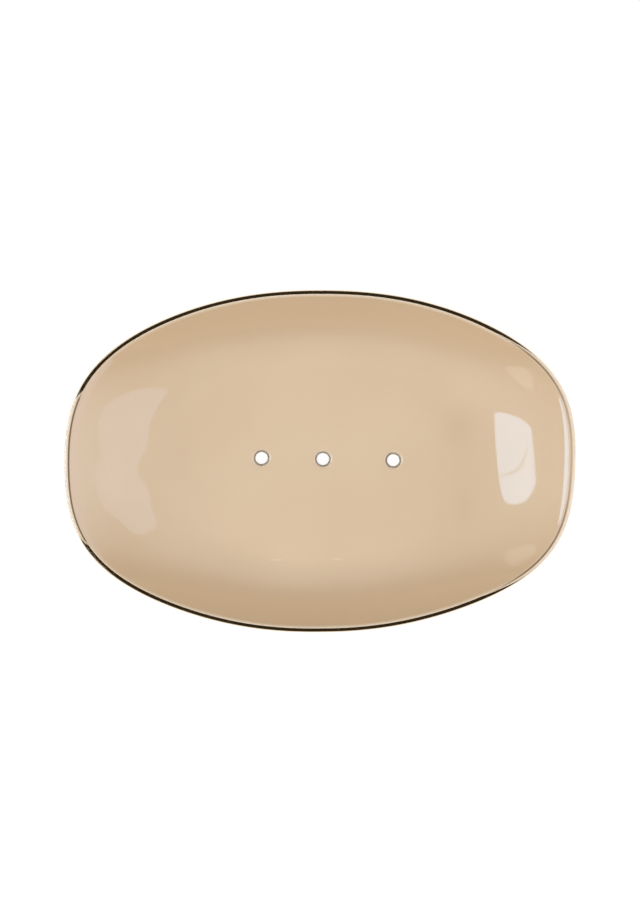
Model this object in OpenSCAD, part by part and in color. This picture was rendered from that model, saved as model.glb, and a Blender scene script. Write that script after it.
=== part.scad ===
// A soap dish: a hand-formed bowl of metal sheet with a rounded rim, lined with enamel.
// Three drain holes let the water out, and four turned feet with silicone pads hold it clear of the bench.
// The origin is on the bench under the middle of the dish. X runs along it, Y across it and Z up.

/* [Bowl] */
// Length over the rim
dish_length = 140; // [130:1:150]
// Width over the rim
dish_width = 94; // [86:1:102]
// Height from the bench to the top of the rim
dish_height = 20; // [18:0.5:24]
// Gap between the bench and the underside of the bowl
stand_height = 4; // [3.5:0.5:6]
// Length of the flat floor
floor_length = 80; // [72:1:86]
// Width of the flat floor
floor_width = 54; // [48:1:58]

/* [Sheet and enamel] */
// Thickness of the metal sheet, which is also the diameter of the rim's round edge
sheet_wall = 1; // [0.8:0.05:1.3]
// Thickness of the enamel on the floor and the wall
enamel_wall = 0.5; // [0.3:0.05:0.7]
// Thickness to which the enamel thins where it meets the rim
enamel_edge = 0.12; // [0.08:0.02:0.24]

/* [Drain holes] */
// Bore of each hole through the metal
drain_bore = 3.3; // [2.8:0.1:3.8]
// Bevel that breaks the edges of each bore
drain_bevel = 0.15; // [0.05:0.05:0.25]
// Width of the bare metal ring that the enamel leaves around each bore
drain_ring = 0.4; // [0.3:0.05:0.7]
// Width over which the enamel rounds down to that ring
drain_round = 0.8; // [0.5:0.1:1.2]
// Distance from the middle hole to the left one
left_pitch = 17; // [14:0.5:20]
// Distance from the middle hole to the right one
right_pitch = 19.5; // [15:0.5:21]
// Place of the middle hole along the dish
row_x = 0.8; // [-2:0.1:2]
// Place of the middle hole across the dish
row_y = 0.6; // [-2:0.1:2]
// Slope of the row of holes, in degrees
row_slope = -0.96; // [-2:0.01:2]

/* [Feet] */
// Direction of a foot's centre from the dish's long axis, in degrees
foot_bearing = 29; // [24:1:40]
// Distance from a foot's flange to the edge of the flat underside
foot_margin = 1; // [0.5:0.25:4]
// Width of the metal ring that a foot keeps around its pad
foot_ring = 1; // [0.8:0.1:1.4]
// Thickness of the flange that is brazed to the bowl
flange_wall = 0.5; // [0.4:0.05:0.6]
// Distance by which the flange stands out past the foot's lower bead
flange_step = 0.2; // [0.1:0.05:0.5]
// Depth of the cove between the flange and the bead
cove_depth = 0.6; // [0.3:0.1:0.8]
// Metal left over the pad's seat, up to the cove
seat_web = 0.8; // [0.6:0.1:0.9]
// Radius of the bead's lower edge
bead_round = 0.4; // [0.2:0.1:0.6]

/* [Pads] */
// Diameter of a pad
pad_diameter = 6.4; // [5:0.2:7]
// Depth of the pad's seat in the foot
pad_seat = 0.6; // [0.4:0.1:0.7]
// Height by which a pad stands out of its foot
pad_proud = 0.8; // [0.6:0.1:1]
// Gap around a pad in its seat
pad_gap = 0.1; // [0.05:0.05:0.2]
// Radius of a pad's lower edge
pad_round = 0.3; // [0.1:0.1:0.5]

/* [Hidden] */

// Colours of the polished metal, the enamel and the silicone
metal_tint = [0.83, 0.66, 0.38];
enamel_tint = [0.85, 0.75, 0.63];
pad_tint = [0.86, 0.86, 0.83];

// Powers of the oval outlines of the rim and of the floor: 2 is an ellipse, and more is squarer
rim_power = 2.27;
floor_power = 2.15;
// The rim was beaten by hand, so it swells and draws in by these shares of its size as it goes round
three_wave_share = 0.0041;
six_wave_share = 0.0076;
three_wave_turn = 58;
six_wave_turn = 6;
// The wall's curve from the edge of the floor to the rim, as shares of its run and of its rise
wall_curve_shares = [[0, 0], [0.36, 0], [0.72, 0.50], [1, 1]];
// Places round the dish and up the wall where the bowl's surfaces are worked out
columns = 96;
wall_steps = 10;
wall_stations = [for (step = [0 : wall_steps]) step / wall_steps];
// Directions across the rim's round edge, in degrees above level, between its two ends
bead_turns = [90, 60, 30, 0];
// Facets of true circles, and steps of each rounded corner
$fn = 64;
corner_steps = 6;
// Distance by which cutting shapes run past what they cut
overrun = 1;

half_sheet = sheet_wall / 2;
under_z = stand_height;
sheet_z = under_z + half_sheet;
metal_floor_z = under_z + sheet_wall;
enamel_floor_z = metal_floor_z + enamel_wall;
rim_z = dish_height - half_sheet;
drain_radius = drain_bore / 2;
ring_radius = drain_radius + drain_ring;
drain_steps = [-left_pitch, 0, right_pitch];
pad_radius = pad_diameter / 2;
seat_radius = pad_radius + pad_gap;
bead_radius = seat_radius + foot_ring;
flange_radius = bead_radius + flange_step;
bead_top_z = pad_proud + pad_seat + seat_web;
flange_z = under_z - flange_wall;
pad_top_z = pad_proud + pad_seat;

function mix(from, to, share) = from + (to - from) * share;
function unit(v) = v / norm(v);
function signed_power(value, power) = sign(value) * pow(abs(value), power);

// Outlines: an oval of two half sizes, and the rim's own, which is waved and then fitted to its length and width
function oval_point(turn, power) = [signed_power(cos(turn), 2 / power), signed_power(sin(turn), 2 / power)];
function wave(turn) = 1 + three_wave_share * cos(3 * turn + three_wave_turn)
    - six_wave_share * cos(6 * turn + six_wave_turn);
turns = [for (column = [0 : columns - 1]) 360 * column / columns];
waved = [for (turn = turns) wave(turn) * oval_point(turn, rim_power)];
waved_x = [for (p = waved) p.x];
waved_y = [for (p = waved) p.y];
function fitted(value, values, size) = size * ((value - min(values)) / (max(values) - min(values)) - 1 / 2);
rim_line = [for (p = waved)
    [fitted(p.x, waved_x, dish_length - sheet_wall), fitted(p.y, waved_y, dish_width - sheet_wall)]];
floor_line = [for (turn = turns)
    let (p = oval_point(turn, floor_power)) [p.x * floor_length / 2, p.y * floor_width / 2]];

// The wall's curve and its direction, as shares of the run and the rise
function curve(t) = let (c = wall_curve_shares, s = 1 - t)
    s * s * s * c[0] + 3 * s * s * t * c[1] + 3 * s * t * t * c[2] + t * t * t * c[3];
function curve_way(t) = let (c = wall_curve_shares, s = 1 - t)
    s * s * (c[1] - c[0]) + 2 * s * t * (c[2] - c[1]) + t * t * (c[3] - c[2]);

// The middle of the sheet at one column and station, and the direction square to the sheet there
function plan_point(column, t) = let (c = column % columns) mix(floor_line[c], rim_line[c], curve(t).x);
function sheet_point(column, t) = let (p = plan_point(column, t)) [p.x, p.y, mix(sheet_z, rim_z, curve(t).y)];
function along_ring(column, t) = sheet_point(column + 1, t) - sheet_point(column + columns - 1, t);
function up_wall(column, t) = let (run = rim_line[column] - floor_line[column], way = curve_way(t))
    [run.x * way.x, run.y * way.x, (rim_z - sheet_z) * way.y];
function sheet_normal(column, t) = unit(cross(up_wall(column, t), along_ring(column, t)));

// Rings of points: on a surface lifted off the middle of the sheet, and on the rim's round edge
function ring(t, lift) = [for (column = [0 : columns - 1])
    sheet_point(column, t) + lift * sheet_normal(column, t)];
function level_out(column) = unit(cross(along_ring(column, 1), [0, 0, 1]));
function edge_point(column, turn) = sheet_point(column, 1)
    + half_sheet * (cos(turn) * level_out(column) + [0, 0, sin(turn)]);
function edge_ring(turn) = [for (column = [0 : columns - 1]) edge_point(column, turn)];
function inner_edge_ring() = [for (column = [0 : columns - 1])
    edge_point(column, 90 + acos(sheet_normal(column, 1).z) / 2)];

// Triangles between two rings, seen from below and outside, and the same turned over
function corner(ring, column) = ring * columns + column % columns;
function strip(low, high) = [for (column = [0 : columns - 1])
    each [[corner(low, column), corner(high, column), corner(high, column + 1)],
        [corner(low, column), corner(high, column + 1), corner(low, column + 1)]]];
function turned_over(faces) = [for (face = faces) [face[2], face[1], face[0]]];

// A closed sheet between the rings of its underside and of its upper side, both from the floor to the rim
module lofted_sheet(under, upper) {
    points = [for (ring = concat(under, upper)) each ring];
    first_upper = len(under);
    last_upper = len(under) + len(upper) - 1;
    under_faces = [for (ring = [0 : first_upper - 2]) each strip(ring, ring + 1)];
    upper_faces = [for (ring = [first_upper : last_upper - 1]) each turned_over(strip(ring, ring + 1))];
    edge_faces = strip(first_upper - 1, last_upper);
    under_floor = [for (column = [0 : columns - 1]) corner(0, column)];
    upper_floor = [for (column = [0 : columns - 1]) corner(first_upper, columns - 1 - column)];
    polyhedron(points, concat([under_floor], under_faces, edge_faces, upper_faces, [upper_floor]));
}

// Places the children at each drain hole
module at_drains() {
    translate([row_x, row_y, 0])
        rotate([0, 0, row_slope])
            for (step = drain_steps)
                translate([step, 0, 0])
                    children();
}

// A round bore through the metal, bevelled at both edges
module bore_cutter() {
    wide = drain_radius + drain_bevel + overrun;
    rotate_extrude()
        polygon([[0, under_z - overrun], [wide, under_z - overrun],
            [drain_radius, under_z + drain_bevel], [drain_radius, metal_floor_z - drain_bevel],
            [wide, metal_floor_z + overrun], [0, metal_floor_z + overrun]]);
}

// A hole in the enamel that opens upwards over a rounded edge
module enamel_cutter() {
    round_line = [for (step = [0 : corner_steps])
        let (turn = 90 * step / corner_steps)
        [ring_radius + drain_round * (1 - cos(turn)), metal_floor_z + enamel_wall * sin(turn)]];
    rotate_extrude()
        polygon(concat([[0, metal_floor_z - overrun], [ring_radius, metal_floor_z - overrun]], round_line,
            [[ring_radius + drain_round, enamel_floor_z + overrun], [0, enamel_floor_z + overrun]]));
}

module metal_shell() {
    under = [for (t = wall_stations) ring(t, -half_sheet)];
    edge = concat([for (i = [len(bead_turns) - 1 : -1 : 0]) edge_ring(bead_turns[i])], [inner_edge_ring()]);
    upper = [for (t = wall_stations) ring(t, half_sheet)];
    color(metal_tint)
        difference() {
            lofted_sheet(concat(under, edge), upper);
            at_drains() bore_cutter();
        }
}

// The enamel is as thick as named on the floor and the wall, and thins at the last station
function enamel_at(t) = t < 1 ? enamel_wall : enamel_edge;

module enamel_lining() {
    under = [for (t = wall_stations) ring(t, half_sheet)];
    upper = [for (t = wall_stations) ring(t, half_sheet + enamel_at(t))];
    color(enamel_tint)
        difference() {
            lofted_sheet(under, upper);
            at_drains() enamel_cutter();
        }
}

// A foot's centre lies on its bearing, inside the flat underside by the flange's radius and the margin
floor_reach = 1 / pow(pow(cos(foot_bearing) * 2 / floor_length, floor_power)
    + pow(sin(foot_bearing) * 2 / floor_width, floor_power), 1 / floor_power);
foot_reach = floor_reach - flange_radius - foot_margin;
module at_foot(side, end) {
    translate([side * foot_reach * cos(foot_bearing), end * foot_reach * sin(foot_bearing), 0])
        children();
}

// A turned foot: a flange, a cove and a round-edged bead, with a round seat for the pad below
module turned_foot() {
    round_line = [for (step = [0 : corner_steps])
        let (turn = 90 * step / corner_steps)
        [bead_radius - bead_round * (1 - sin(turn)), pad_proud + bead_round * (1 - cos(turn))]];
    cove_line = [for (step = [0 : 2 * corner_steps])
        let (turn = 90 * step / corner_steps, share = (1 - cos(turn)) / 2)
        [mix(bead_radius, flange_radius, share) - cove_depth * sin(turn), mix(bead_top_z, flange_z, share)]];
    color(metal_tint)
        rotate_extrude()
            polygon(concat([[0, pad_top_z], [seat_radius, pad_top_z], [seat_radius, pad_proud]], round_line,
                cove_line, [[flange_radius, under_z], [0, under_z]]));
}

// A soft pad: a disc with a rounded lower edge, flat below and flat in its seat
module soft_pad() {
    round_line = [for (step = [0 : corner_steps])
        let (turn = 90 * step / corner_steps)
        [pad_radius - pad_round * (1 - sin(turn)), pad_round * (1 - cos(turn))]];
    color(pad_tint)
        rotate_extrude()
            polygon(concat([[0, 0]], round_line, [[pad_radius, pad_top_z], [0, pad_top_z]]));
}

module foot_front_left() { at_foot(-1, -1) turned_foot(); }
module foot_front_right() { at_foot(1, -1) turned_foot(); }
module foot_back_left() { at_foot(-1, 1) turned_foot(); }
module foot_back_right() { at_foot(1, 1) turned_foot(); }
module pad_front_left() { at_foot(-1, -1) soft_pad(); }
module pad_front_right() { at_foot(1, -1) soft_pad(); }
module pad_back_left() { at_foot(-1, 1) soft_pad(); }
module pad_back_right() { at_foot(1, 1) soft_pad(); }

metal_shell();
enamel_lining();
foot_front_left();
foot_front_right();
foot_back_left();
foot_back_right();
pad_front_left();
pad_front_right();
pad_back_left();
pad_back_right();
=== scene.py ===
# %% [markdown]
# # A soap dish of enamelled brass
# A small oval bowl is beaten from thin brass sheet, and a beige enamel is melted onto its inside. The edge
# of the sheet stays bare and shows as a fine gold line. Three holes let the water out, and four small
# turned feet with silicone pads hold the bowl clear of the bench. The fixed frame holds the same ten pieces
# as plain solids. Here each piece is modelled again, finer, in the same place, so nothing is fitted by eye.

# %% Load the fixed frame
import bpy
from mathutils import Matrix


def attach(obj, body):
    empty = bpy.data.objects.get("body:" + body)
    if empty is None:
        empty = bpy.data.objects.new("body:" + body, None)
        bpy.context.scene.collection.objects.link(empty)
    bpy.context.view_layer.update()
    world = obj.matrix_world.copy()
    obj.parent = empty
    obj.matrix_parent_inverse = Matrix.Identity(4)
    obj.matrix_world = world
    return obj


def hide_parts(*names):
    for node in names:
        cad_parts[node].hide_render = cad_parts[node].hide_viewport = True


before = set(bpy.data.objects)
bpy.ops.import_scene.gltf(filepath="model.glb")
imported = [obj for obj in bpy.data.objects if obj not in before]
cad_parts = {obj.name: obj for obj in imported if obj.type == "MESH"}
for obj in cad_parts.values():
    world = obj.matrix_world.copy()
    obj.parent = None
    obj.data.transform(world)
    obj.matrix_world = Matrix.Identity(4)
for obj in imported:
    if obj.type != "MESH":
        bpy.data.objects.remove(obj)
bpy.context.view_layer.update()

# %% Modules and units
import math
import random
import bmesh
import bpy
from mathutils import Vector
from mathutils import kdtree
MM = 0.001
FULL_TURN = 360
print("Sizes are in metres, and one millimetre is", MM)

# %% [markdown]
# ## The camera
# The picture looks straight down from far away, so the dish shows its plan and hardly any wall. A long lens
# high above the rim gives that: the frame is about 253 mm tall at the height of the rim.

# %% A camera straight above the dish
dish_height = 20 * MM
camera_reach = 1200 * MM
view_height = 252.6 * MM
view_drop = 0.08 * MM
sensor_side = 36
bpy.ops.object.camera_add(location=(0, -view_drop, dish_height + camera_reach))
camera = bpy.context.object
camera.data.sensor_width = sensor_side
camera.data.lens = sensor_side * camera_reach / view_height
bpy.context.scene.camera = camera
bpy.context.scene.view_settings.view_transform = "Standard"
print("Focal length", round(camera.data.lens, 1), "mm")

# %% [markdown]
# ## The studio
# Gloss shows what stands around a piece. Here that is a white table, a dark tent over it, and a few bright
# cards and bands in the tent. The tent and the cards are seen in reflections alone: they neither shade the
# dish nor stand in front of a camera. Broad soft lamps give the plain light on the colours.

# %% Helpers for shader nodes
def add_node(tree, kind, settings=None, **inputs):
    """Adds a node, sets its settings, and sets or links its inputs, named with _ for a space."""
    node = tree.nodes.new(kind)
    for name, value in (settings or {}).items():
        setattr(node, name, value)
    for name, value in inputs.items():
        socket = node.inputs[int(name[1:])] if name[1:].isdigit() else node.inputs[name.replace("_", " ")]
        if isinstance(value, bpy.types.NodeSocket):
            tree.links.new(value, socket)
        else:
            socket.default_value = value
    return node


def new_material(name):
    """A new material with an empty node tree. Gives the material and its tree."""
    material = bpy.data.materials.new(name)
    material.use_nodes = True
    material.node_tree.nodes.clear()
    return material, material.node_tree


def combined(tree, operation, first, second):
    """What an operation makes of two values, each given as a number or from a node."""
    return add_node(tree, "ShaderNodeMath", {"operation": operation}, i0=first, i1=second).outputs[0]


def mixed(tree, share, first, second):
    """A colour between two colours, each given as values or from a node."""
    return add_node(tree, "ShaderNodeMix", {"data_type": "RGBA"}, i0=share, i6=first, i7=second).outputs[2]


def stored_mark(tree, name):
    """A value that is stored at the points of the mesh."""
    return add_node(tree, "ShaderNodeAttribute", {"attribute_name": name}).outputs["Fac"]


def seen_directly(tree):
    """1 for rays from the camera, from gloss and through clear matter, and 0 for rays that carry light."""
    path = add_node(tree, "ShaderNodeLightPath")
    bright = combined(tree, "MAXIMUM", path.outputs["Is Camera Ray"], path.outputs["Is Glossy Ray"])
    return combined(tree, "MAXIMUM", bright, path.outputs["Is Transmission Ray"])


print("Helpers to add shader nodes and to mix what they give")

# %% Colours and levels of the white table
WHITE = (1, 1, 1, 1)
BLACK = (0, 0, 0, 1)
table_side = 8000 * MM
table_glow = 0.9
table_shade = (0.15, 0.15, 0.15, 1)
table_light = (0.8, 0.8, 0.8, 1)
print("Table", table_side, "m wide")


# %% A white table that keeps a faint shadow
def table_material():
    """White as it is seen, with a part that takes shadow. From below it is clear."""
    material, tree = new_material("white_table")
    glow = add_node(tree, "ShaderNodeEmission", Color=WHITE, Strength=table_glow)
    shade = add_node(tree, "ShaderNodeBsdfDiffuse", Color=table_shade)
    seen = add_node(tree, "ShaderNodeAddShader", i0=glow.outputs[0], i1=shade.outputs[0])
    lit = add_node(tree, "ShaderNodeBsdfDiffuse", Color=table_light)
    direct = seen_directly(tree)
    top = add_node(tree, "ShaderNodeMixShader", i0=direct, i1=lit.outputs[0], i2=seen.outputs[0])
    clear = add_node(tree, "ShaderNodeBsdfTransparent")
    below = add_node(tree, "ShaderNodeNewGeometry").outputs["Backfacing"]
    both = add_node(tree, "ShaderNodeMixShader", i0=below, i1=top.outputs[0], i2=clear.outputs[0])
    add_node(tree, "ShaderNodeOutputMaterial", Surface=both.outputs[0])
    return material


bpy.ops.mesh.primitive_plane_add(size=table_side, location=(0, 0, 0))
table = bpy.context.object
table.name = "studio_table"
table.data.materials.append(table_material())
print("Placed", table.name)

# %% A world that is white as it is seen, and plain as a light
world_light = 0.2
world_tint = (1, 0.94, 0.86, 1)
world = bpy.data.worlds.new("studio_world")
world.use_nodes = True
tree = world.node_tree
tree.nodes.clear()
bpy.context.scene.world = world
seen_sky = add_node(tree, "ShaderNodeBackground", Color=WHITE, Strength=1)
lit_sky = add_node(tree, "ShaderNodeBackground", Color=world_tint, Strength=world_light)
direct = seen_directly(tree)
sky = add_node(tree, "ShaderNodeMixShader", i0=direct, i1=lit_sky.outputs[0], i2=seen_sky.outputs[0])
add_node(tree, "ShaderNodeOutputWorld", Surface=sky.outputs[0])
print("World light", world_light)


# %% Soft lamps
def towards(polar, azimuth, reach):
    """A point at a distance: polar degrees off straight up, and azimuth degrees round from +X."""
    tilt = math.radians(polar)
    turn = math.radians(azimuth)
    level = math.sin(tilt)
    return Vector((level * math.cos(turn), level * math.sin(turn), math.cos(tilt))) * reach


lamp_reach = 1500 * MM
lamp_tint = (0.96, 0.99, 1)
# Each lamp has a polar and an azimuth in degrees, a side in mm and a power in W.
lamps = {"lamp_above": (10, 270, 900, 12.6),
         "lamp_left": (66, 180, 800, 13.4),
         "lamp_right": (69, 0, 800, 12)}
for lamp_name, (polar, azimuth, side, power) in lamps.items():
    bpy.ops.object.light_add(type="AREA", location=towards(polar, azimuth, lamp_reach))
    lamp = bpy.context.object
    lamp.name = lamp_name
    lamp.rotation_euler = (-lamp.location).to_track_quat("-Z", "Y").to_euler()
    lamp.data.size = side * MM
    lamp.data.energy = power
    lamp.data.color = lamp_tint
    lamp.visible_glossy = False
print(len(lamps), "lamps")


# %% The dark tent
def gloss_only(piece, level, tint, fading=False):
    """Makes a stage piece glow for reflections alone. A fading one has its share of glow at its points."""
    material, tree = new_material(piece.name)
    if fading:
        tint = mixed(tree, stored_mark(tree, "glow_share"), BLACK, tint)
    glow = add_node(tree, "ShaderNodeEmission", Color=tint, Strength=level)
    add_node(tree, "ShaderNodeOutputMaterial", Surface=glow.outputs[0])
    material.cycles.emission_sampling = "NONE"
    piece.data.materials.append(material)
    piece.visible_camera = False
    piece.visible_diffuse = False
    piece.visible_shadow = False
    piece.visible_transmission = False


tent_reach = 2400 * MM
tent_level = 0.03
tent_tint = (1, 0.85, 0.6, 1)
tent_rings = 24
bpy.ops.mesh.primitive_uv_sphere_add(segments=2 * tent_rings, ring_count=tent_rings, radius=tent_reach)
tent = bpy.context.object
tent.name = "studio_tent"
gloss_only(tent, tent_level, tent_tint)
print("Tent of radius", tent_reach, "m")


# %% Cards of any outline, and bands between two edges
card_reach = 1600 * MM
card_steps = 6


def through(corners, steps):
    """A smooth closed line through corners, with a number of points from each corner to the next."""
    line = []
    for index in range(len(corners)):
        near_ones = [corners[(index + step) % len(corners)] for step in (-1, 0, 1, 2)]
        before, start, end, after = (Vector(corner) for corner in near_ones)
        for step in range(steps):
            t = step / steps
            bend = (2 * before - 5 * start + 4 * end - after) * t * t
            twist = (3 * start - before - 3 * end + after) * t ** 3
            line.append(start + ((end - before) * t + bend + twist) / 2)
    return line


def studio_card(name, level, tint, corners):
    """A card seen in reflections, given by the polar and azimuth of its corners from the dish."""
    outline = through(corners, card_steps)
    bpy.ops.mesh.primitive_circle_add(vertices=len(outline), radius=card_reach, fill_type="TRIFAN")
    card = bpy.context.object
    card.name = name
    middle = Vector()
    for corner, (polar, azimuth) in zip(card.data.vertices[1:], outline):
        corner.co = towards(polar, azimuth, card_reach)
        middle += corner.co / len(outline)
    card.data.vertices[0].co = middle.normalized() * card_reach
    gloss_only(card, level, tint)


def studio_band(name, level, tint, reach, first_edge, second_edge, fading=False):
    """A long card between two edges of as many directions. It can fade to its first edge and its ends."""
    last = len(first_edge) - 1
    bpy.ops.mesh.primitive_grid_add(x_subdivisions=last, y_subdivisions=1, size=2)
    band = bpy.context.object
    band.name = name
    shares = band.data.attributes.new("glow_share", "FLOAT", "POINT")
    for corner in band.data.vertices:
        edge = first_edge if corner.co.y < 0 else second_edge
        along = (corner.co.x + 1) / 2
        shares.data[corner.index].value = math.sin(math.pi * along) * (corner.co.y > 0)
        polar, azimuth = edge[round(along * last)]
        corner.co = towards(polar, azimuth, reach)
    gloss_only(band, level, tint, fading)


print("A card's outline has", card_steps, "points from each corner to the next")

# %% [markdown]
# ### What the wall mirrors
# Each end wall mirrors the card across from it. The wall bends a card's outline on its way to the eye, so
# the outlines are laid as directions: polar and azimuth in degrees, as seen from the dish. The small white
# cards give the short lights at the right corners. Cool tints make up for the warm colour under the gloss.

# %% Cards
cool = (0.43, 0.7, 1, 1)
cold = (0.5, 0.64, 1, 1)
lilac = (0.5, 0.55, 0.9, 1)
bright_level = 7
soft_level = 1.8
small_level = 1.2
studio_card("card_left", bright_level, cool, [
    (42.2, 205.7), (46.5, 206.4), (50.4, 204.6), (55, 200.7), (58.9, 196.1), (61.5, 191.5), (62.5, 184.2),
    (64.3, 179.8), (65, 178.3), (65.8, 174.8), (63.9, 169.3), (61.8, 165), (55.2, 160.2), (47.5, 160),
    (40.5, 167.5), (36.9, 177.3), (35.5, 184.2), (37.2, 195.2)])
studio_card("card_right", soft_level, cold, [
    (43.3, -45.8), (38.6, -34.5), (36.1, -20.5), (33.1, -9.3), (40.7, -1.2), (39.7, 4.5), (32.1, 14.8),
    (35.7, 27.8), (40.3, 38.5), (49.6, 42.8), (59.8, 41.1), (62.8, 29.4), (67.4, 17.9), (69.3, 4.6),
    (68.9, -0.4), (65.7, -2.6), (68.7, -19.1), (63.5, -35.2), (56.2, -41.9)])
studio_card("card_left_front", small_level, WHITE, [
    (75.3, 230.9), (79.5, 227.6), (75, 219.3), (70.1, 214.8), (70.3, 222.8)])
studio_card("card_left_back", small_level, WHITE, [
    (73.3, 130.8), (74.5, 140.7), (78.6, 137.7), (82.1, 128.9), (83.8, 124.6)])
print("Four cards at", card_reach, "m")

# %% Bands near the table
left_polars = (79.3, 84.5)
left_azimuths = range(157, 208, 5)
left_edges = [[(polar, azimuth) for azimuth in left_azimuths] for polar in left_polars]
studio_band("band_left_low", bright_level, cool, card_reach, *left_edges)
low_level = 2
low_end = 88.5
low_right = [(85.5, -50), (81.6, -40), (77.4, -23), (76, -9), (76.1, -1), (75.8, 6), (75, 21), (80, 40),
             (85, 50)]
low_right_end = [(low_end, azimuth) for polar, azimuth in low_right]
studio_band("band_right_low", low_level, lilac, card_reach, low_right, low_right_end)
print("Bands from", left_polars[0], "and", low_right[0][0], "degrees off straight up")

# %% A faint band behind the right card, and a dark seam in front of the left one
mid_level = 1.4
mid_width = 18
mid_reach = 1700 * MM
mid_right = [(polar - mid_width, azimuth) for polar, azimuth in low_right]
studio_band("band_right_mid", mid_level, cool, mid_reach, mid_right, low_right, fading=True)
seam_level = 0.2
seam_reach = 1500 * MM
seam_width = 0.55
seam = [(36, 174.6), (39, 175.3), (44.3, 176.8), (50.1, 177.8), (54, 179.4), (57.3, 180.3), (59, 182.4),
        (59.1, 185), (58.2, 188.1)]
seam_end = [(polar + seam_width / 2, azimuth - seam_width) for polar, azimuth in seam]
studio_band("seam_left", seam_level, cool, seam_reach, seam, seam_end)
print("Band at", mid_reach, "m and seam at", seam_reach, "m")

# %% [markdown]
# ## The bowl's shape
# The bowl was beaten by hand over a stake, so its outline is an oval that is a little squarer than an
# ellipse and swells slightly as it goes round. A primitive oval would be too perfect. So the two outlines,
# of the flat floor and of the rim, are worked out as points, and one curve leads the wall from the one to
# the other.

# %% Sizes of the bowl
dish_length = 140 * MM
dish_width = 94 * MM
stand_height = 4 * MM
floor_length = 80 * MM
floor_width = 54 * MM
sheet_wall = 1 * MM
enamel_wall = 0.5 * MM
half_sheet = sheet_wall / 2
sheet_z = stand_height + half_sheet
rim_z = dish_height - half_sheet
metal_floor_z = stand_height + sheet_wall
enamel_floor_z = metal_floor_z + enamel_wall
print("Floor of the enamel at", enamel_floor_z, "m")

# %% Outlines of the floor and of the rim
columns = 192
turns = [math.radians(FULL_TURN * column / columns) for column in range(columns)]
rim_power = 2.27
floor_power = 2.15
# Each wave has a count round the bowl, a start in degrees, and a height as a share of the oval.
waves = [(1, 247, 0.0497), (2, 184, 0.0276), (3, 85, 0.0050), (5, 142, 0.0016), (6, 6, -0.0076)]


def signed_power(value, power):
    """A power of a value's size, with the value's sign."""
    return math.copysign(abs(value) ** power, value)


def oval_point(turn, power):
    """A point of an oval of half size 1: power 2 is an ellipse, and more is squarer."""
    return (signed_power(math.cos(turn), 2 / power), signed_power(math.sin(turn), 2 / power))


def wave(turn):
    """How much the oval is stretched in a direction by its hand-made waves."""
    return 1 + sum(share * math.cos(count * turn + math.radians(start)) for count, start, share in waves)


def fitted(values, size):
    """The values, stretched and moved so that they span a size with its middle at 0."""
    span = max(values) - min(values)
    return [size * ((value - min(values)) / span - 1 / 2) for value in values]


waved = [[wave(turn) * value for value in oval_point(turn, rim_power)] for turn in turns]
rim_line = list(zip(fitted([point[0] for point in waved], dish_length - sheet_wall),
                    fitted([point[1] for point in waved], dish_width - sheet_wall)))
floor_line = [(x * floor_length / 2, y * floor_width / 2)
              for x, y in (oval_point(turn, floor_power) for turn in turns)]
print("Rim line of", len(rim_line), "points")

# %% The wall's curve
wall_curve = [Vector((0, 0)), Vector((0.36, 0)), Vector((0.72, 0.50)), Vector((1, 1))]


def mix(low, high, share):
    """A value between two values."""
    return low + (high - low) * share


def curve(t):
    """Run and rise of the wall at t, as shares: 0 is the edge of the floor and 1 is the rim."""
    s = 1 - t
    a, b, c, d = wall_curve
    return s ** 3 * a + 3 * s * s * t * b + 3 * s * t * t * c + t ** 3 * d


def curve_way(t):
    """The direction of the wall's curve at t."""
    s = 1 - t
    a, b, c, d = wall_curve
    return s * s * (b - a) + 2 * s * t * (c - b) + t * t * (d - c)


def sheet_point(column, t):
    """The middle of the sheet."""
    column %= columns
    share = curve(t)
    x, y = (mix(low, high, share.x) for low, high in zip(floor_line[column], rim_line[column]))
    return Vector((x, y, mix(sheet_z, rim_z, share.y)))


def along_ring(column, t):
    """The direction along a ring of the sheet."""
    return sheet_point(column + 1, t) - sheet_point(column - 1, t)


def sheet_normal(column, t):
    """The direction square to the sheet, into the bowl."""
    way = curve_way(t)
    run = [high - low for low, high in zip(floor_line[column], rim_line[column])]
    up_wall = Vector((run[0] * way.x, run[1] * way.x, (rim_z - sheet_z) * way.y))
    return up_wall.cross(along_ring(column, t)).normalized()


print("Halfway along the wall's curve:", tuple(curve(1 / 2)))

# %% [markdown]
# ### Beaten by hand
# A hammer leaves long shallow swells in a wall. They are too low to see as shape, but they bend a
# reflection, and a straight edge in it becomes wavy. Each swell is a soft hump.

# %% Swells of the wall
# Each swell has a place, a radius and a height in mm.
swells = [(x * MM, y * MM, radius * MM, lift * MM) for x, y, radius, lift in [
    (-57, 7, 5, 0.10), (-54, -9, 5, -0.10), (-49, 17, 4, 0.08), (-60, -16, 5, 0.08), (-48, 0, 4, -0.05),
    (-62, 20, 6, -0.10), (-46, -21, 5, 0.08), (57, 10, 5, 0.06), (55, -8, 5, -0.06), (62, 0, 5, 0.05),
    (54, 22, 5, 0.08), (55, -22, 5, 0.08), (-20, 39, 6, 0.08), (12, 41, 6, -0.08), (34, 35, 6, 0.08),
    (-32, -35, 6, 0.08), (-6, -40, 6, -0.08), (24, -38, 6, 0.08), (44, -30, 6, -0.06), (-40, 32, 6, -0.06)]]


def swell(x, y, t):
    """Height of the swells at a place, which fade to nothing at the rim and on the floor."""
    fade = math.sin(math.pi * min(max(t, 0), 1)) ** (1 / 2)
    height = sum(lift * math.exp(-((x - sx) ** 2 + (y - sy) ** 2) / (2 * radius ** 2))
                 for sx, sy, radius, lift in swells)
    return height * fade


print(len(swells), "swells")


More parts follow.
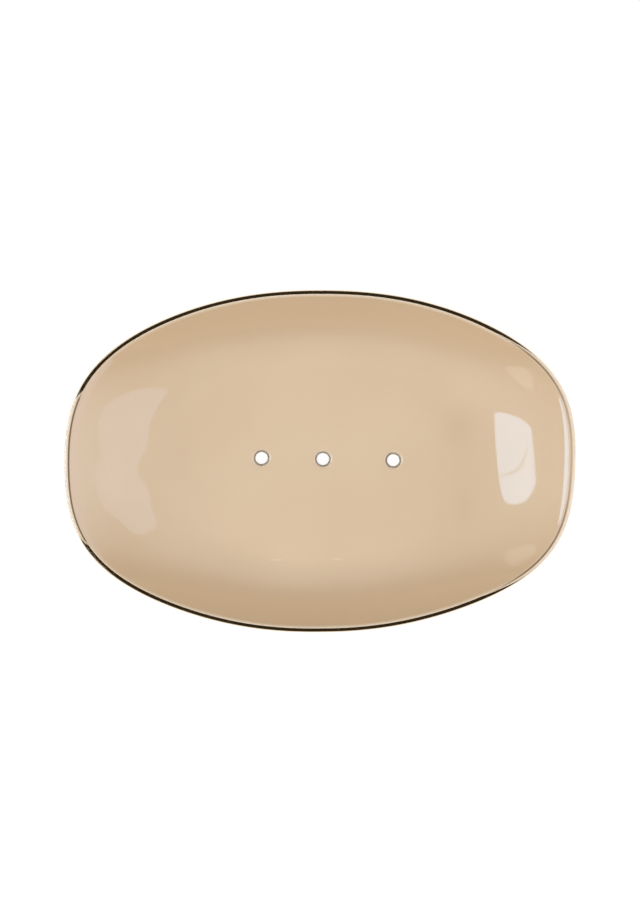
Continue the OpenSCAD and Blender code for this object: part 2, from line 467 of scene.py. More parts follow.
# %% Rings of points on the wall, on the floor and at the lip
def wall_ring(t, lift):
    """Points round the wall on a surface that is lifted off the middle of the sheet."""
    points = []
    for column in range(columns):
        point = sheet_point(column, t)
        points.append(point + (lift + swell(point.x, point.y, t)) * sheet_normal(column, t))
    return points


def floor_ring(share, z):
    """Points round the floor's outline, drawn in to a share of it."""
    return [Vector((x * share, y * share, z)) for x, y in floor_line]


def lip_ring(place):
    """A ring at the rim. The place gives each column's distance out from the rim line, and up from it."""
    points = []
    for column in range(columns):
        out, up = place(column)
        level_out = along_ring(column, 1).cross(Vector((0, 0, 1))).normalized()
        points.append(sheet_point(column, 1) + level_out * out + Vector((0, 0, up)))
    return points


print("Each ring has", columns, "points")

# %% [markdown]
# ### The lip
# The edge of a raised bowl is struck from above until the sheet thickens there, and is then filed round. So
# the lip is a little wider than the sheet, most of all at the two ends. It falls away outside in a quarter
# of an oval and drops inside to the enamel. At both ends the enamel ran over the crest, so there the crest
# lies lower. It climbs back a little past the place where the enamel has drawn off it.

# %% Sizes of the lip
lip_crest = -0.68 * MM
lip_side_reach = 1.05 * MM
lip_end_reach = 1.18 * MM
lip_side_fall = 0.75 * MM
lip_end_fall = 0.9 * MM
lip_under = 0.4 * MM
overrun_drop = 0.08 * MM
overrun_rise = 0.15
crest_fade = math.radians(8)
overrun_right = (math.radians(38), math.radians(56))
overrun_left = (math.radians(22.5), math.radians(26))
print("Lip of", lip_side_reach, "to", lip_end_reach, "m past its crest")


# %% Where the enamel ran over the crest
def eased(share):
    """A share held between 0 and 1, with soft ends."""
    share = min(max(share, 0), 1)
    return share * share * (3 - 2 * share)


def endness(column):
    """1 at the two ends of the bowl and 0 in the middle of its long sides."""
    return math.cos(turns[column]) ** 2


def overruns(column):
    """A column's turn off each end, and where the overrun there is full and where there is none."""
    off_right = abs(math.remainder(turns[column], math.tau))
    return [(off_right, *overrun_right), (math.pi - off_right, *overrun_left)]


def overrun(column):
    """1 at the two ends, where the enamel ran over the crest, and 0 on the long sides."""
    return sum(eased((none - off_end) / (none - full)) for off_end, full, none in overruns(column))


def sunk(column):
    """1 where the crest lies lower for the enamel, and 0 once it has climbed back past the overrun."""
    return sum(eased(1 + (none - off_end) / crest_fade) for off_end, full, none in overruns(column))


def raised(column):
    """1 where the enamel lies over the crest, which it climbs in the first few columns of the overrun."""
    return eased(overrun(column) / overrun_rise)


print(sum(overrun(column) > 0 for column in range(columns)), "columns with an overrun")


# %% Outline of the lip
def lip_shape(column):
    """The lip's reach out from its crest, its fall, and the crest's height over the rim line."""
    end = endness(column)
    return (mix(lip_side_reach, lip_end_reach, end), mix(lip_side_fall, lip_end_fall, end),
            half_sheet - overrun_drop * sunk(column))


def lip_height(column, out_from_crest):
    """Height of the lip over the rim line at a distance out from its crest."""
    reach, fall, top = lip_shape(column)
    return top - fall * (1 - math.sqrt(1 - (max(out_from_crest, 0) / reach) ** 2))


def lip_place(angle):
    """A place on the lip's outline: 0 degrees is its outer edge, and 90 degrees is its crest."""
    turn = math.radians(angle)

    def place(column):
        reach, fall, top = lip_shape(column)
        height = fall if angle > 0 else lip_under
        return (lip_crest + reach * math.cos(turn), top - fall + height * math.sin(turn))
    return place


def inner_place(inside, below):
    """A place inside the crest and below it."""
    return lambda column: (lip_crest - inside, lip_shape(column)[2] - below)


lip_angles = (-60, -30, -12, 0, 10, 20, 30, 40, 50, 60, 70, 80, 90)
print("Lip of", len(lip_angles), "rings")

# %% [markdown]
# ### One ring after another
# A bowl could be a squashed sphere, but then its wall would follow the sphere. Here a filled circle is the
# start. It is extruded again and again, and after each step its ring is laid on the next ring of points.
# The walk goes out along one face, over the edge and back in along the other, so the piece is closed.

# %% Walk a circle along rings of points
def start_fresh():
    """Leaves edit mode and selects nothing."""
    if bpy.context.mode != "OBJECT":
        bpy.ops.object.mode_set(mode="OBJECT")
    bpy.ops.object.select_all(action="DESELECT")


def lay(piece, points):
    """Puts each selected vertex on the point of its column."""
    shape = bmesh.from_edit_mesh(piece.data)
    column = shape.verts.layers.int["column"]
    for vertex in shape.verts:
        if vertex.select:
            vertex.co = points[vertex[column]]
    bmesh.update_edit_mesh(piece.data)


def walked(name, rings):
    """A closed piece: a filled circle on the first ring, extruded to each ring after it."""
    start_fresh()
    bpy.ops.mesh.primitive_circle_add(vertices=len(rings[0]), radius=1, fill_type="NGON")
    piece = bpy.context.object
    piece.name = piece.data.name = name
    column = piece.data.attributes.new("column", "INT", "POINT")
    for vertex in piece.data.vertices:
        turn = math.degrees(math.atan2(vertex.co.y, vertex.co.x))
        column.data[vertex.index].value = round(turn * len(rings[0]) / FULL_TURN) % len(rings[0])
    bpy.ops.object.mode_set(mode="EDIT")
    lay(piece, rings[0])
    for ring in rings[1:]:
        bpy.ops.mesh.extrude_region_move()
        lay(piece, ring)
    bpy.ops.mesh.select_all(action="SELECT")
    bpy.ops.mesh.normals_make_consistent(inside=False)
    bpy.ops.object.mode_set(mode="OBJECT")
    piece.data.attributes.remove(piece.data.attributes["column"])
    return piece


print("A walk starts from a circle of", columns, "points")


# %% Modifiers and smooth shading
def pick(piece):
    """Selects a piece alone and makes it the active one."""
    start_fresh()
    bpy.context.view_layer.objects.active = piece
    piece.select_set(True)


def apply_modifier(piece, kind, **settings):
    """Adds a modifier to a piece and applies it."""
    pick(piece)
    modifier = piece.modifiers.new(kind.lower(), kind)
    for name, value in settings.items():
        setattr(modifier, name, value)
    bpy.ops.object.modifier_apply(modifier=modifier.name)


def smooth(piece, angle):
    """Shades a piece smooth, but keeps edges sharper than an angle."""
    pick(piece)
    bpy.ops.object.shade_smooth_by_angle(angle=math.radians(angle))


print("Helpers to pick, modify and smooth a piece")

# %% [markdown]
# ## The metal bowl
# One piece of brass sheet, 1 mm thick. Its edge was filed round, which gives the gold line. Its outside was
# smoothed with a flat hammer, blow beside blow, in rows round the bowl. Each blow leaves a shallow flat,
# and polish softens the edges between them. A bump in the finish wouldn't bend the outline, so the flats
# are in the mesh.

# %% Hammer marks on the outside
blow_pitch = 7.5 * MM
blow_depth = 0.05 * MM
blow_stray = 0.18
blow_seed = 7
stray = random.Random(blow_seed)
blows = []
row_count = 5
for row in range(row_count):
    row_t = (row + 1 / 2) / row_count
    row_line = [sheet_point(column, row_t) for column in range(columns)]
    girth = sum((row_line[column] - row_line[column - 1]).length for column in range(columns))
    blow_count = round(girth / blow_pitch)
    for blow in range(blow_count):
        along = blow + (row % 2) / 2 + stray.uniform(-blow_stray, blow_stray)
        up = row_t + stray.uniform(-blow_stray, blow_stray) / row_count
        blows.append(sheet_point(round(columns * along / blow_count), up))
blow_tree = kdtree.KDTree(len(blows))
for index, point in enumerate(blows):
    blow_tree.insert(point, index)
blow_tree.balance()
print(len(blows), "blows")

# %% Rings with the flats of the hammer
fade_share = 0.12
lip_start = 0.945


def struck_ring(t):
    """A ring on the outside of the sheet, with flats that fade at the floor and at the lip."""
    fade = eased(t / fade_share) * eased((lip_start - t) / fade_share)
    points = []
    for column in range(columns):
        middle = sheet_point(column, t)
        off_blow = blow_tree.find(middle)[2] / (blow_pitch / 2)
        dent = blow_depth * fade * max(1 - off_blow ** 2, 0)
        points.append(middle + (swell(middle.x, middle.y, t) - half_sheet + dent) * sheet_normal(column, t))
    return points


print("The flats are", blow_depth, "m deep")

# %% Metal bowl without its holes
floor_shares = [0.12, 0.4, 0.7, 0.9]
wall_steps = 22
wall_stations = [step / wall_steps for step in range(wall_steps)]
outer_steps = 38
outer_stations = [step / outer_steps for step in range(outer_steps) if step / outer_steps < lip_start]
under_rings = [floor_ring(share, stand_height) for share in floor_shares]
under_rings += [struck_ring(t) for t in outer_stations + [lip_start]]
over_rings = [lip_ring(lip_place(angle)) for angle in lip_angles]
# How far inside the crest and below it the metal goes on, in mm.
inner_drops = [(0.05, 0.02), (0.12, 0.2)]
over_rings += [lip_ring(inner_place(inside * MM, below * MM)) for inside, below in inner_drops]
inner_rings = [wall_ring(t, half_sheet) for t in reversed(wall_stations)]
inner_rings += [floor_ring(share, metal_floor_z) for share in reversed(floor_shares)]
metal = walked("metal_bowl", under_rings + over_rings + inner_rings)
apply_modifier(metal, "SUBSURF", levels=1, render_levels=1, use_limit_surface=False)
print("Metal bowl:", len(metal.data.polygons), "faces")

# %% [markdown]
# ## The enamel
# Enamel is glass powder that is melted onto the metal. It lies half a millimetre thick and draws itself
# round and thin where it ends, at the rim and at the holes. That soft end catches a fine line of light.
# Under the right lip it has a shallow crease, and the wall above it mirrors a band near the table.

# %% Sizes of the enamel
full_lift = half_sheet + enamel_wall
ledge = half_sheet - 0.04 * MM
ledge_blend = 0.15 * MM
edge_start = 0.14 * MM
edge_cover = 0.85 * MM
edge_short = 0.01 * MM
crease_lift = 1.2 * MM
crease_least = 0.022
crease_most = 0.073
crease_middle = math.radians(3)
crease_end = math.radians(22.5)
crease_fade = math.radians(2)
print("The enamel's face lies", full_lift, "m off the middle of the sheet")


# %% The face, the crease and the edge of the enamel
def soft_least(a, b, blend):
    """The smaller of two values, with a soft change from one to the other."""
    overlap = max(blend - abs(a - b), 0) / blend
    return min(a, b) - overlap * overlap * blend / 4


def crease(column, t):
    """Height of the crease under the right lip, a crescent past which the wall is a little steeper."""
    off_right = abs(math.remainder(turns[column] - crease_middle, math.tau))
    width = mix(crease_least, crease_most, math.sqrt(max(1 - (off_right / crease_end) ** 2, 0)))
    return crease_lift * max(t - 1 + width, 0) * eased((crease_end - off_right) / crease_fade)


def face_ring(t):
    """A ring on the enamel's face, which rises with the wall and turns level just below the lip's crest."""
    points = []
    for column in range(columns):
        middle = sheet_point(column, t)
        normal = sheet_normal(column, t)
        room = (rim_z + ledge - middle.z) / normal.z
        lift = soft_least(full_lift + crease(column, t), room, ledge_blend)
        points.append(middle + (lift + swell(middle.x, middle.y, t)) * normal)
    return points


def edge_place(share, below, above):
    """A place on the enamel's edge, from its inside at 0 to its end at 1: below the crest, or over it."""
    def place(column):
        cover = overrun(column)
        out = mix(-edge_start, mix(-edge_short, edge_cover, cover), share)
        return (lip_crest + out, lip_height(column, out) + mix(-below, above, raised(column)))
    return place


print("The crease is", crease_lift * crease_most, "m high where it is widest")

# %% Enamel lining without its holes
near_lip = [0.985, 0.975, 0.965, 0.945, 0.935, 0.928, 0.92]
# The edge from its end to its inside: share, and depth below the crest and height over it in mm.
edge_outline = [(0.98, 0.26, -0.1), (1, 0.04, 0.005), (0.9, 0.05, 0.035)]
edge_outline += [(share, 0.055, 0.05) for share in (0.7, 0.5, 0.35, 0.25, 0.15)]
edge_outline += [(0, 0.07, 0.02)]
back_rings = [floor_ring(share, metal_floor_z) for share in floor_shares]
back_rings += [wall_ring(t, half_sheet) for t in wall_stations]
face_rings = [lip_ring(edge_place(share, below * MM, above * MM)) for share, below, above in edge_outline]
face_rings += [face_ring(t) for t in sorted(near_lip + wall_stations, reverse=True)]
face_rings += [floor_ring(share, enamel_floor_z) for share in reversed(floor_shares)]
enamel = walked("enamel_coat", back_rings + face_rings)
apply_modifier(enamel, "SUBSURF", levels=1, render_levels=1, use_limit_surface=False)
print("Enamel:", len(enamel.data.polygons), "faces")

# %% [markdown]
# ## The drain holes
# The holes were drilled before the enamel went on, and the enamel drew back from them and left a bare ring.
# A drill is a turned shape, so the cutter is a circle that is extruded and scaled along an outline. There
# is one outline for the metal and one for the enamel. A cutter is turned at each of the three places.

# %% Turn a piece on its outline
def turned(name, outline, centre, segments):
    """A closed turned piece: a filled circle, extruded and scaled along an outline of radii and heights."""
    start_fresh()
    radius, z = outline[0]
    bpy.ops.mesh.primitive_circle_add(vertices=segments, radius=radius, fill_type="NGON",
                                      location=(centre[0], centre[1], z))
    piece = bpy.context.object
    piece.name = piece.data.name = name
    bpy.ops.object.transform_apply(location=True, rotation=True, scale=True)
    bpy.ops.object.mode_set(mode="EDIT")
    for next_radius, next_z in outline[1:]:
        bpy.ops.mesh.extrude_region_move(TRANSFORM_OT_translate={"value": (0, 0, next_z - z)})
        growth = next_radius / radius
        bpy.ops.transform.resize(value=(growth, growth, 1), center_override=(centre[0], centre[1], next_z))
        radius, z = next_radius, next_z
    bpy.ops.mesh.select_all(action="SELECT")
    bpy.ops.mesh.normals_make_consistent(inside=False)
    bpy.ops.object.mode_set(mode="OBJECT")
    return piece


def copied(piece, name, shift):
    """A copy with its own mesh, moved by a shift."""
    copy = bpy.data.objects.new(name, piece.data.copy())
    bpy.context.collection.objects.link(copy)
    copy.data.name = name
    for vertex in copy.data.vertices:
        vertex.co += Vector(shift)
    return copy


print("Helpers to turn a piece and to copy it")

# %% Sizes of the drain holes
drain_radius = 3.3 / 2 * MM
drain_bevel = 0.15 * MM
drain_ring = 0.5 * MM
bore_round = 0.35 * MM
bore_fall = 0.1 * MM
drain_round = 1.3 * MM
row_x = 0.8 * MM
row_y = 0.6 * MM
row_slope = math.radians(-0.96)
drain_steps = [-17 * MM, 0, 19.5 * MM]
cutter_spare = 1 * MM
round_steps = 16
hole_segments = 96
drain_places = [(row_x + step * math.cos(row_slope), row_y + step * math.sin(row_slope))
                for step in drain_steps]
print("Holes at", drain_places)


# %% Cutters for the metal and for the enamel
def quarter_turns(steps, quarters=1):
    """Angles from 0 on, with a number of steps to each quarter turn."""
    return [math.pi / 2 * step / steps for step in range(quarters * steps + 1)]


def rounded_edge(radius, top_z, out, fall):
    """The rounded upper edge of a hole, from its wall to a distance out from it on the face at the top."""
    return [(radius + out * (1 - math.cos(bend)), top_z - fall * (1 - math.sin(bend)))
            for bend in quarter_turns(round_steps)]


wide = drain_radius + drain_bevel + cutter_spare
bore_outline = [(wide, stand_height - cutter_spare), (drain_radius, stand_height + drain_bevel)]
bore_outline += rounded_edge(drain_radius, metal_floor_z, bore_round, bore_fall)
bore_outline += [(drain_radius + bore_round, metal_floor_z + cutter_spare)]
ring_radius = drain_radius + drain_ring
enamel_outline = [(ring_radius, metal_floor_z - cutter_spare)]
enamel_outline += rounded_edge(ring_radius, enamel_floor_z, drain_round, enamel_wall)
enamel_outline += [(ring_radius + drain_round, enamel_floor_z + cutter_spare)]
print("Outlines of", len(bore_outline), "and", len(enamel_outline), "points")


# %% Cut the holes
def cut_drains(piece, outline):
    """Cuts the three holes out of a piece, with a cutter turned on the outline."""
    cutters = [turned("cutter", outline, place, hole_segments) for place in drain_places]
    for cutter in cutters:
        apply_modifier(piece, "BOOLEAN", object=cutter, operation="DIFFERENCE", solver="MANIFOLD")
        bpy.data.objects.remove(cutter)


cut_drains(metal, bore_outline)
cut_drains(enamel, enamel_outline)
sharp_angle = 35
smooth(metal, sharp_angle)
smooth(enamel, sharp_angle)
print("Faces with the holes:", len(metal.data.polygons), "and", len(enamel.data.polygons))

# %% [markdown]
# ### Marks for the enamel's colour
# Enamel is paler where it runs out thin along an edge, and this pale edge also carries a painted highlight
# where the rounded enamel catches light. The steep long walls are painted darker as painted shade, and the
# crest at the two ends is painted dark brown as painted shade. The finish can't see edges or slopes, so
# these are stored at the points of the mesh.

# %% Reach of each mark
thin_full = 0.25 * MM
thin_none = 1.4 * MM
lip_pale = 0.6 * MM
steep_none = 28
steep_full = 48
steep_turn = 1.4
crest_shade_full = 0.08 * MM
crest_shade_none = 0.34 * MM
crest_shade_left = 0.95
crest_shade_right = 0.28
crest_shade_middle = math.radians(6)
crest_shade_narrow = 11
line_cuts = 16
print("Thin edges are pale up to", thin_none, "m off")


# %% Marks for thin edges with a painted highlight, painted shade on the steep walls, and a painted dark crest
def line_tree(line):
    """A search tree for the nearest place on a closed line, which gives its column."""
    tree = kdtree.KDTree(len(line) * line_cuts)
    for column, point in enumerate(line):
        for cut in range(line_cuts):
            tree.insert(point.lerp(line[(column + 1) % len(line)], cut / line_cuts), column)
    tree.balance()
    return tree


edge_tree = line_tree(lip_ring(edge_place(1, 0, 0)))
crest_tree = line_tree(lip_ring(inner_place(0, 0)))


def near(off, full, none):
    """1 up to a full distance off, fading to 0 at another."""
    return eased((none - off) / (none - full))


def pale_highlight_mark(vertex):
    """1 at the edge along the long sides, and on the lip at the right end: thin pale enamel and a painted
    highlight.
    """
    point, column, off_edge = edge_tree.find(vertex.co)
    covered = overrun(column)
    on_side = 1 - max(endness(column), covered)
    on_right = covered * (math.cos(turns[column]) > 0)
    along_side = near(off_edge, thin_full, thin_none) * on_side
    return max(along_side, near(off_edge, thin_full, lip_pale) * on_right)


def wall_shade_mark(vertex):
    """Painted shade: 1 on the steep long walls, and less at the two ends."""
    slope = math.degrees(math.acos(min(abs(vertex.normal.z), 1)))
    steep = eased((slope - steep_none) / (steep_full - steep_none))
    on_wall = vertex.co.z > enamel_floor_z + enamel_wall
    level_way = math.hypot(vertex.normal.x, vertex.normal.y)
    long_side = abs(vertex.normal.y) / max(level_way, abs(vertex.normal.z))
    return steep * on_wall * min(long_side * steep_turn, 1)


def crest_shade_mark(vertex):
    """Painted shade: strong on the crest under the overrun, and weak in the middle of the right end."""
    point, column, off_crest = crest_tree.find(vertex.co)
    at_right = max(math.cos(turns[column] - crest_shade_middle), 0) ** crest_shade_narrow
    strength = mix(crest_shade_left, crest_shade_right, at_right)
    return near(off_crest, crest_shade_full, crest_shade_none) * overrun(column) * strength


def mark(piece, name, value_of):
    """Stores a value at each point of a piece."""
    values = piece.data.attributes.new(name, "FLOAT", "POINT")
    for vertex in piece.data.vertices:
        values.data[vertex.index].value = value_of(vertex)


# Thin pale enamel along the edges, with a painted highlight.
mark(enamel, "pale_edge_highlight", pale_highlight_mark)
# Painted shade on the steep long walls.
mark(enamel, "wall_painted_shade", wall_shade_mark)
# Painted shade: a dark brown line along the crest at the two ends.
mark(enamel, "crest_painted_shade", crest_shade_mark)
print("Marks:", [attribute.name for attribute in enamel.data.attributes if attribute.data_type == "FLOAT"])

# %% [markdown]
# ## The feet
# Each foot is turned from brass rod: a flange that is brazed to the bowl, a cove, and a bead with a round
# seat for its pad. One is turned as a pattern, and the four feet are copies of it.

# %% Sizes of a foot and its pad
foot_bearing = math.radians(29)
foot_margin = 1 * MM
foot_ring = 1 * MM
flange_wall = 0.5 * MM
flange_step = 0.2 * MM
cove_depth = 0.6 * MM
seat_web = 0.8 * MM
bead_round = 0.4 * MM
braze_round = 0.25 * MM
pad_radius = 6.4 / 2 * MM
pad_seat = 0.6 * MM
pad_proud = 0.8 * MM
pad_gap = 0.1 * MM
pad_round = 0.3 * MM
seat_radius = pad_radius + pad_gap
bead_radius = seat_radius + foot_ring
flange_radius = bead_radius + flange_step
pad_top_z = pad_proud + pad_seat
bead_top_z = pad_top_z + seat_web
flange_z = stand_height - flange_wall
floor_reach = 1 / ((math.cos(foot_bearing) * 2 / floor_length) ** floor_power
                   + (math.sin(foot_bearing) * 2 / floor_width) ** floor_power) ** (1 / floor_power)
foot_reach = floor_reach - flange_radius - foot_margin
foot_x = foot_reach * math.cos(foot_bearing)
foot_y = foot_reach * math.sin(foot_bearing)
foot_segments = 96
turn_steps = 8
seat_bevel = 0.1 * MM
print("Feet at", round(foot_x, 5), round(foot_y, 5))

# %% Turned feet
foot_outline = [(seat_radius, pad_top_z), (seat_radius, pad_proud + seat_bevel),
                (seat_radius + seat_bevel, pad_proud)]
foot_outline += [(bead_radius - bead_round * (1 - math.sin(bend)),
                  pad_proud + bead_round * (1 - math.cos(bend))) for bend in quarter_turns(turn_steps)]
for bend in quarter_turns(turn_steps, quarters=2):
    share = (1 - math.cos(bend)) / 2
    foot_outline.append((mix(bead_radius, flange_radius, share) - cove_depth * math.sin(bend),
                         mix(bead_top_z, flange_z, share)))
foot_outline += [(flange_radius + braze_round * (1 - math.cos(bend)),
                  stand_height - braze_round * (1 - math.sin(bend))) for bend in quarter_turns(turn_steps)]
corners = {"front_left": (-1, -1), "front_right": (1, -1), "back_left": (-1, 1), "back_right": (1, 1)}


def four_turned(name, outline):
    """Four copies of a piece that is turned on an outline, one at each corner."""
    pattern = turned("pattern", outline, (0, 0), foot_segments)
    smooth(pattern, sharp_angle)
    pieces = {corner: copied(pattern, name + corner, (side * foot_x, end * foot_y, 0))
              for corner, (side, end) in corners.items()}
    bpy.data.objects.remove(pattern)
    return pieces


feet = four_turned("turned_foot_", foot_outline)
print(len(feet), "feet")

# %% [markdown]
# ## The pads
# A soft silicone disc sits in each foot and stands a little proud of it. Its lower edge is rounded, as it
# comes out of a mould.

# %% Silicone pads
pad_outline = [(pad_radius, pad_top_z)]
pad_outline += [(pad_radius - pad_round * (1 - math.sin(bend)), pad_round * (1 - math.cos(bend)))
                for bend in reversed(quarter_turns(turn_steps))]
pads = four_turned("silicone_pad_", pad_outline)
print(len(pads), "pads")

# %% [markdown]
# ## Finishes
# The enamel is a smooth glass with faint clouds in its colour. The brass is polished, with hair-fine
# scratches and a little tarnish. Both change round the holes, where the enamel thins out, paler and with a
# painted highlight, and the brass was left bare in the kiln. What more than one finish uses is a node
# group, placed in each with its own values.

# %% Helpers for finishes
def new_group(name, inputs, output):
    """A shader node group with named float inputs and one output. Gives the group and its two end nodes."""
    group = bpy.data.node_groups.new(name, "ShaderNodeTree")
    for label, value in inputs.items():
        socket = group.interface.new_socket(label, in_out="INPUT", socket_type="NodeSocketFloat")
        socket.default_value = value
    group.interface.new_socket(output, in_out="OUTPUT", socket_type="NodeSocketFloat")
    return group, group.nodes.new("NodeGroupInput"), group.nodes.new("NodeGroupOutput")


def place_group(tree, group, **inputs):
    """The output of a group that is placed in a material with its own values."""
    return add_node(tree, "ShaderNodeGroup", {"node_tree": group}, **inputs).outputs[0]


def object_place(tree):
    """The place on the piece, in metres."""
    return add_node(tree, "ShaderNodeTexCoord").outputs["Object"]


def vectors(tree, operation, first, second, output="Vector"):
    """What an operation makes of two vectors."""
    node = add_node(tree, "ShaderNodeVectorMath", {"operation": operation}, i0=first, i1=second)
    return node.outputs[output]


def least(tree, values):
    """The smallest of several values."""
    smallest = values[0]
    for value in values[1:]:
        smallest = combined(tree, "MINIMUM", smallest, value)
    return smallest


def soft_step(tree, value, zero, one):
    """A mask that goes softly from 0 at one value to 1 at another."""
    return add_node(tree, "ShaderNodeMapRange", {"interpolation_type": "SMOOTHSTEP"}, i0=value,
                    From_Min=zero, From_Max=one).outputs[0]


def between(tree, share, low, high):
    """A number between two numbers, by a share."""
    return add_node(tree, "ShaderNodeMapRange", i0=share, To_Min=low, To_Max=high).outputs[0]


print("Helpers for groups, places and masks")

# %% Clouds
cloud_values = {"Scale": 60, "Detail": 3, "Low": 0.35, "High": 0.65}
clouds, clouds_in, clouds_out = new_group("clouds", cloud_values, "Mask")
cloud_noise = add_node(clouds, "ShaderNodeTexNoise", Vector=object_place(clouds),
                       Scale=clouds_in.outputs["Scale"], Detail=clouds_in.outputs["Detail"])
cloud_mask = soft_step(clouds, cloud_noise.outputs[0], clouds_in.outputs["Low"], clouds_in.outputs["High"])
clouds.links.new(cloud_mask, clouds_out.inputs["Mask"])
print("Group:", clouds.name)

# %% Fine scratches, drawn in three directions
scratch_values = {"Scale": 900, "Stretch": 20}
scratches, scratches_in, scratches_out = new_group("fine_scratches", scratch_values, "Height")
scratch_place = object_place(scratches)
narrow = combined(scratches, "DIVIDE", scratches_in.outputs["Scale"], scratches_in.outputs["Stretch"])
stretch = add_node(scratches, "ShaderNodeCombineXYZ", X=scratches_in.outputs["Scale"], Y=narrow, Z=narrow)
scratch_ways = (25, 105, 160)
scratch_detail = 2
heights = []
for way in scratch_ways:
    rotated = add_node(scratches, "ShaderNodeVectorRotate", {"rotation_type": "Z_AXIS"},
                       Vector=scratch_place, Angle=math.radians(way))
    drawn = vectors(scratches, "MULTIPLY", rotated.outputs[0], stretch.outputs[0])
    noise = add_node(scratches, "ShaderNodeTexNoise", Vector=drawn, Scale=1, Detail=scratch_detail)
    heights.append(noise.outputs[0])
scratches.links.new(least(scratches, heights), scratches_out.inputs["Height"])
print("Group:", scratches.name)

# %% Rings round the drain holes
ring_values = {"Full": 2 * MM, "Clear": 3 * MM}
near_holes, holes_in, holes_out = new_group("near_holes", ring_values, "Mask")
flat_place = vectors(near_holes, "MULTIPLY", object_place(near_holes), (1, 1, 0))
gaps = [vectors(near_holes, "DISTANCE", flat_place, (x, y, 0), "Value") for x, y in drain_places]
off_hole = least(near_holes, gaps)
hole_mask = soft_step(near_holes, off_hole, holes_in.outputs["Clear"], holes_in.outputs["Full"])
near_holes.links.new(hole_mask, holes_out.inputs["Mask"])
print("Group:", near_holes.name)

# %% [markdown]
# ### Beige enamel
# The colour starts from soft clouds of two beiges and takes the stored marks one after another. Two spots
# at the right of the floor are a shade darker, and two short streaks near its front edge are lighter:
# painted glints of small ripples in the glaze. A faint orange-peel bump and a little change in roughness
# keep the gloss from looking like plastic.

# %% Colours and spots of the enamel
enamel_beige = (0.70, 0.535, 0.38, 1)
enamel_shade = (0.68, 0.515, 0.36, 1)
# The deep colour is painted shade on the steep long walls.
painted_shade_colour = (0.645, 0.468, 0.302, 1)
# The dark brown is a painted shade line on the crest at the two ends.
crest_shade_colour = (0.14, 0.09, 0.055, 1)
enamel_dusk = (0.665, 0.495, 0.345, 1)
# The pale colour is thin enamel and a painted highlight along edges and round the holes.
pale_highlight_colour = (0.79, 0.665, 0.52, 1)
painted_glint_colour = (0.76, 0.59, 0.43, 1)
# Each spot has a centre and two radii in mm, and a colour. The two narrow light ones are painted glints.
spots = [((38.3, 9.5), (8, 9), enamel_dusk), ((39.5, -12.5), (5, 8), enamel_dusk),
         ((-12, -27.3), (3.2, 0.5), painted_glint_colour), ((5, -27.2), (2.4, 0.5), painted_glint_colour)]
print(len(spots), "spots")


# %% Beige enamel
def soft_spot(tree, centre, radii):
    """A mask that is 1 at a centre and 0 past its two radii, all in mm."""
    scale = (1 / (radii[0] * MM), 1 / (radii[1] * MM), 0)
    drawn = vectors(tree, "MULTIPLY", object_place(tree), scale)
    middle = (centre[0] * MM * scale[0], centre[1] * MM * scale[1], 0)
    return soft_step(tree, vectors(tree, "DISTANCE", drawn, middle, "Value"), 1, 0)


enamel_gloss = (0.05, 0.08)
enamel_ior = 1.5
pale_full = 1.4 * MM
pale_none = 3 * MM
peel_scale = 350
peel_strength = 0.15
fine_depth = 0.02 * MM
enamel_material, tree = new_material("beige_enamel")
broad = place_group(tree, clouds, Scale=35, Detail=2, Low=0.3, High=0.7)
fine = place_group(tree, clouds, Scale=400, Detail=4, Low=0.35, High=0.75)
colour = mixed(tree, broad, enamel_beige, enamel_shade)
# Painted shade: the steep long walls are darker.
colour = mixed(tree, stored_mark(tree, "wall_painted_shade"), colour, painted_shade_colour)
for centre, radii, spot_colour in spots:
    colour = mixed(tree, soft_spot(tree, centre, radii), colour, spot_colour)
# Partly painted highlight: the pale edges and hole rims also stand for light caught by the rounded enamel.
hole_rim_highlight = place_group(tree, near_holes, Full=pale_full, Clear=pale_none)
pale_edges_and_highlight = combined(tree, "MAXIMUM", stored_mark(tree, "pale_edge_highlight"), hole_rim_highlight)
colour = mixed(tree, pale_edges_and_highlight, colour, pale_highlight_colour)
# Painted shade: a dark brown line along the crest at the two ends.
colour = mixed(tree, stored_mark(tree, "crest_painted_shade"), colour, crest_shade_colour)
peel = add_node(tree, "ShaderNodeTexNoise", Vector=object_place(tree), Scale=peel_scale, Detail=1)
peel_bump = add_node(tree, "ShaderNodeBump", Strength=peel_strength, Distance=fine_depth,
                     Height=peel.outputs[0])
glass = add_node(tree, "ShaderNodeBsdfPrincipled", Base_Color=colour, IOR=enamel_ior,
                 Roughness=between(tree, fine, *enamel_gloss), Normal=peel_bump.outputs[0])
add_node(tree, "ShaderNodeOutputMaterial", Surface=glass.outputs[0])
print(enamel_material.name)

# %% [markdown]
# ### Polished brass
# The bare ring round each hole was in the kiln with the enamel, so it is duller than the polished brass: it
# is rougher and a little less metallic.

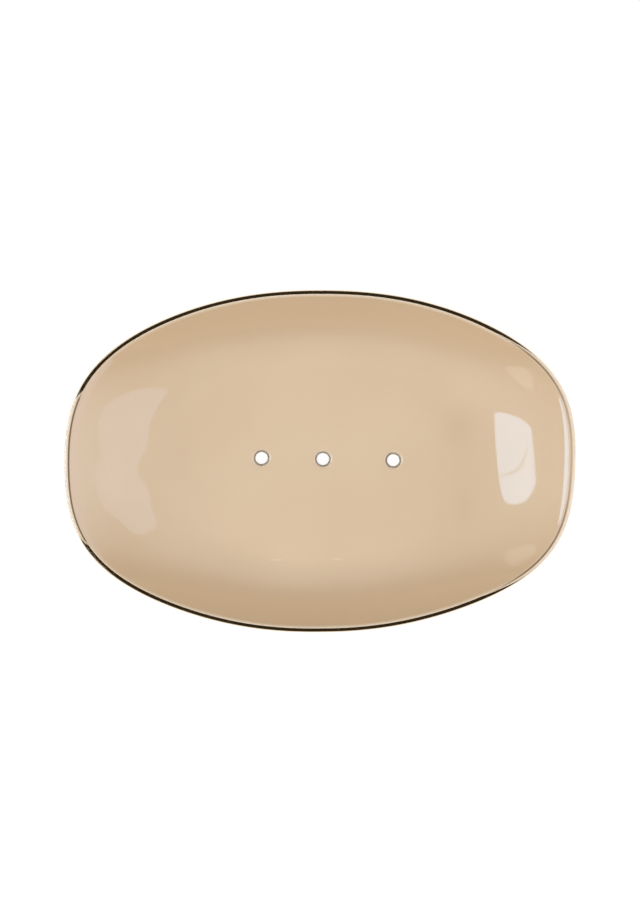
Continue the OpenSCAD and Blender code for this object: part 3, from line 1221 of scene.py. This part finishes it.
# %% Polished brass
brass_clean = (0.88, 0.69, 0.47, 1)
brass_dull = (0.80, 0.60, 0.38, 1)
brass_gloss = (0.12, 0.2)
bare_full = 2.4 * MM
bare_none = 2.8 * MM
bare_rough = 0.5
bare_metallic = 0.85
hair_strength = 0.2
brass_material, tree = new_material("polished_brass")
tarnish = place_group(tree, clouds, Scale=70, Detail=4, Low=0.4, High=0.8)
bare = place_group(tree, near_holes, Full=bare_full, Clear=bare_none)
brass_rough = between(tree, bare, between(tree, tarnish, *brass_gloss), bare_rough)
hairlines = place_group(tree, scratches, Scale=4000, Stretch=25)
hair_bump = add_node(tree, "ShaderNodeBump", Strength=hair_strength, Distance=fine_depth, Height=hairlines)
brass = add_node(tree, "ShaderNodeBsdfPrincipled", Base_Color=mixed(tree, tarnish, brass_clean, brass_dull),
                 Metallic=between(tree, bare, 1, bare_metallic), Roughness=brass_rough,
                 Normal=hair_bump.outputs[0])
add_node(tree, "ShaderNodeOutputMaterial", Surface=brass.outputs[0])
print(brass_material.name)

# %% [markdown]
# ### Pale grey silicone
# Moulded silicone is matt and a little milky. One flat grey would look like paint, and light that sinks
# into such thin discs would hardly show. So their colour and roughness only drift a little, in soft clouds.

# %% Pale grey silicone
silicone_light = (0.74, 0.74, 0.71, 1)
silicone_grey = (0.66, 0.66, 0.63, 1)
silicone_matt = (0.4, 0.55)
silicone_material, tree = new_material("soft_silicone")
milk = place_group(tree, clouds, Scale=500, Detail=3, Low=0.3, High=0.7)
silicone_colour = mixed(tree, milk, silicone_light, silicone_grey)
silicone = add_node(tree, "ShaderNodeBsdfPrincipled", Base_Color=silicone_colour,
                    Roughness=between(tree, milk, *silicone_matt))
add_node(tree, "ShaderNodeOutputMaterial", Surface=silicone.outputs[0])
print(silicone_material.name)

# %% [markdown]
# ## Hand over
# Each piece gets its finish, rides on the one body, and stands for its solid of the frame. Nothing on the
# dish moves, so no piece needs more than that.

# %% Finish, ride and stand for the solids
def hand_over(piece, material, node):
    """Gives a piece its finish, its body and the solid that it stands for."""
    piece.data.materials.clear()
    piece.data.materials.append(material)
    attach(piece, "root")
    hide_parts(node)


hand_over(metal, brass_material, "metal_shell")
hand_over(enamel, enamel_material, "enamel_lining")
for corner in corners:
    hand_over(feet[corner], brass_material, "foot_" + corner)
    hand_over(pads[corner], silicone_material, "pad_" + corner)
print("Handed over the bowl, the enamel,", len(feet), "feet and", len(pads), "pads")

# %% Leave edit mode and select nothing
start_fresh()
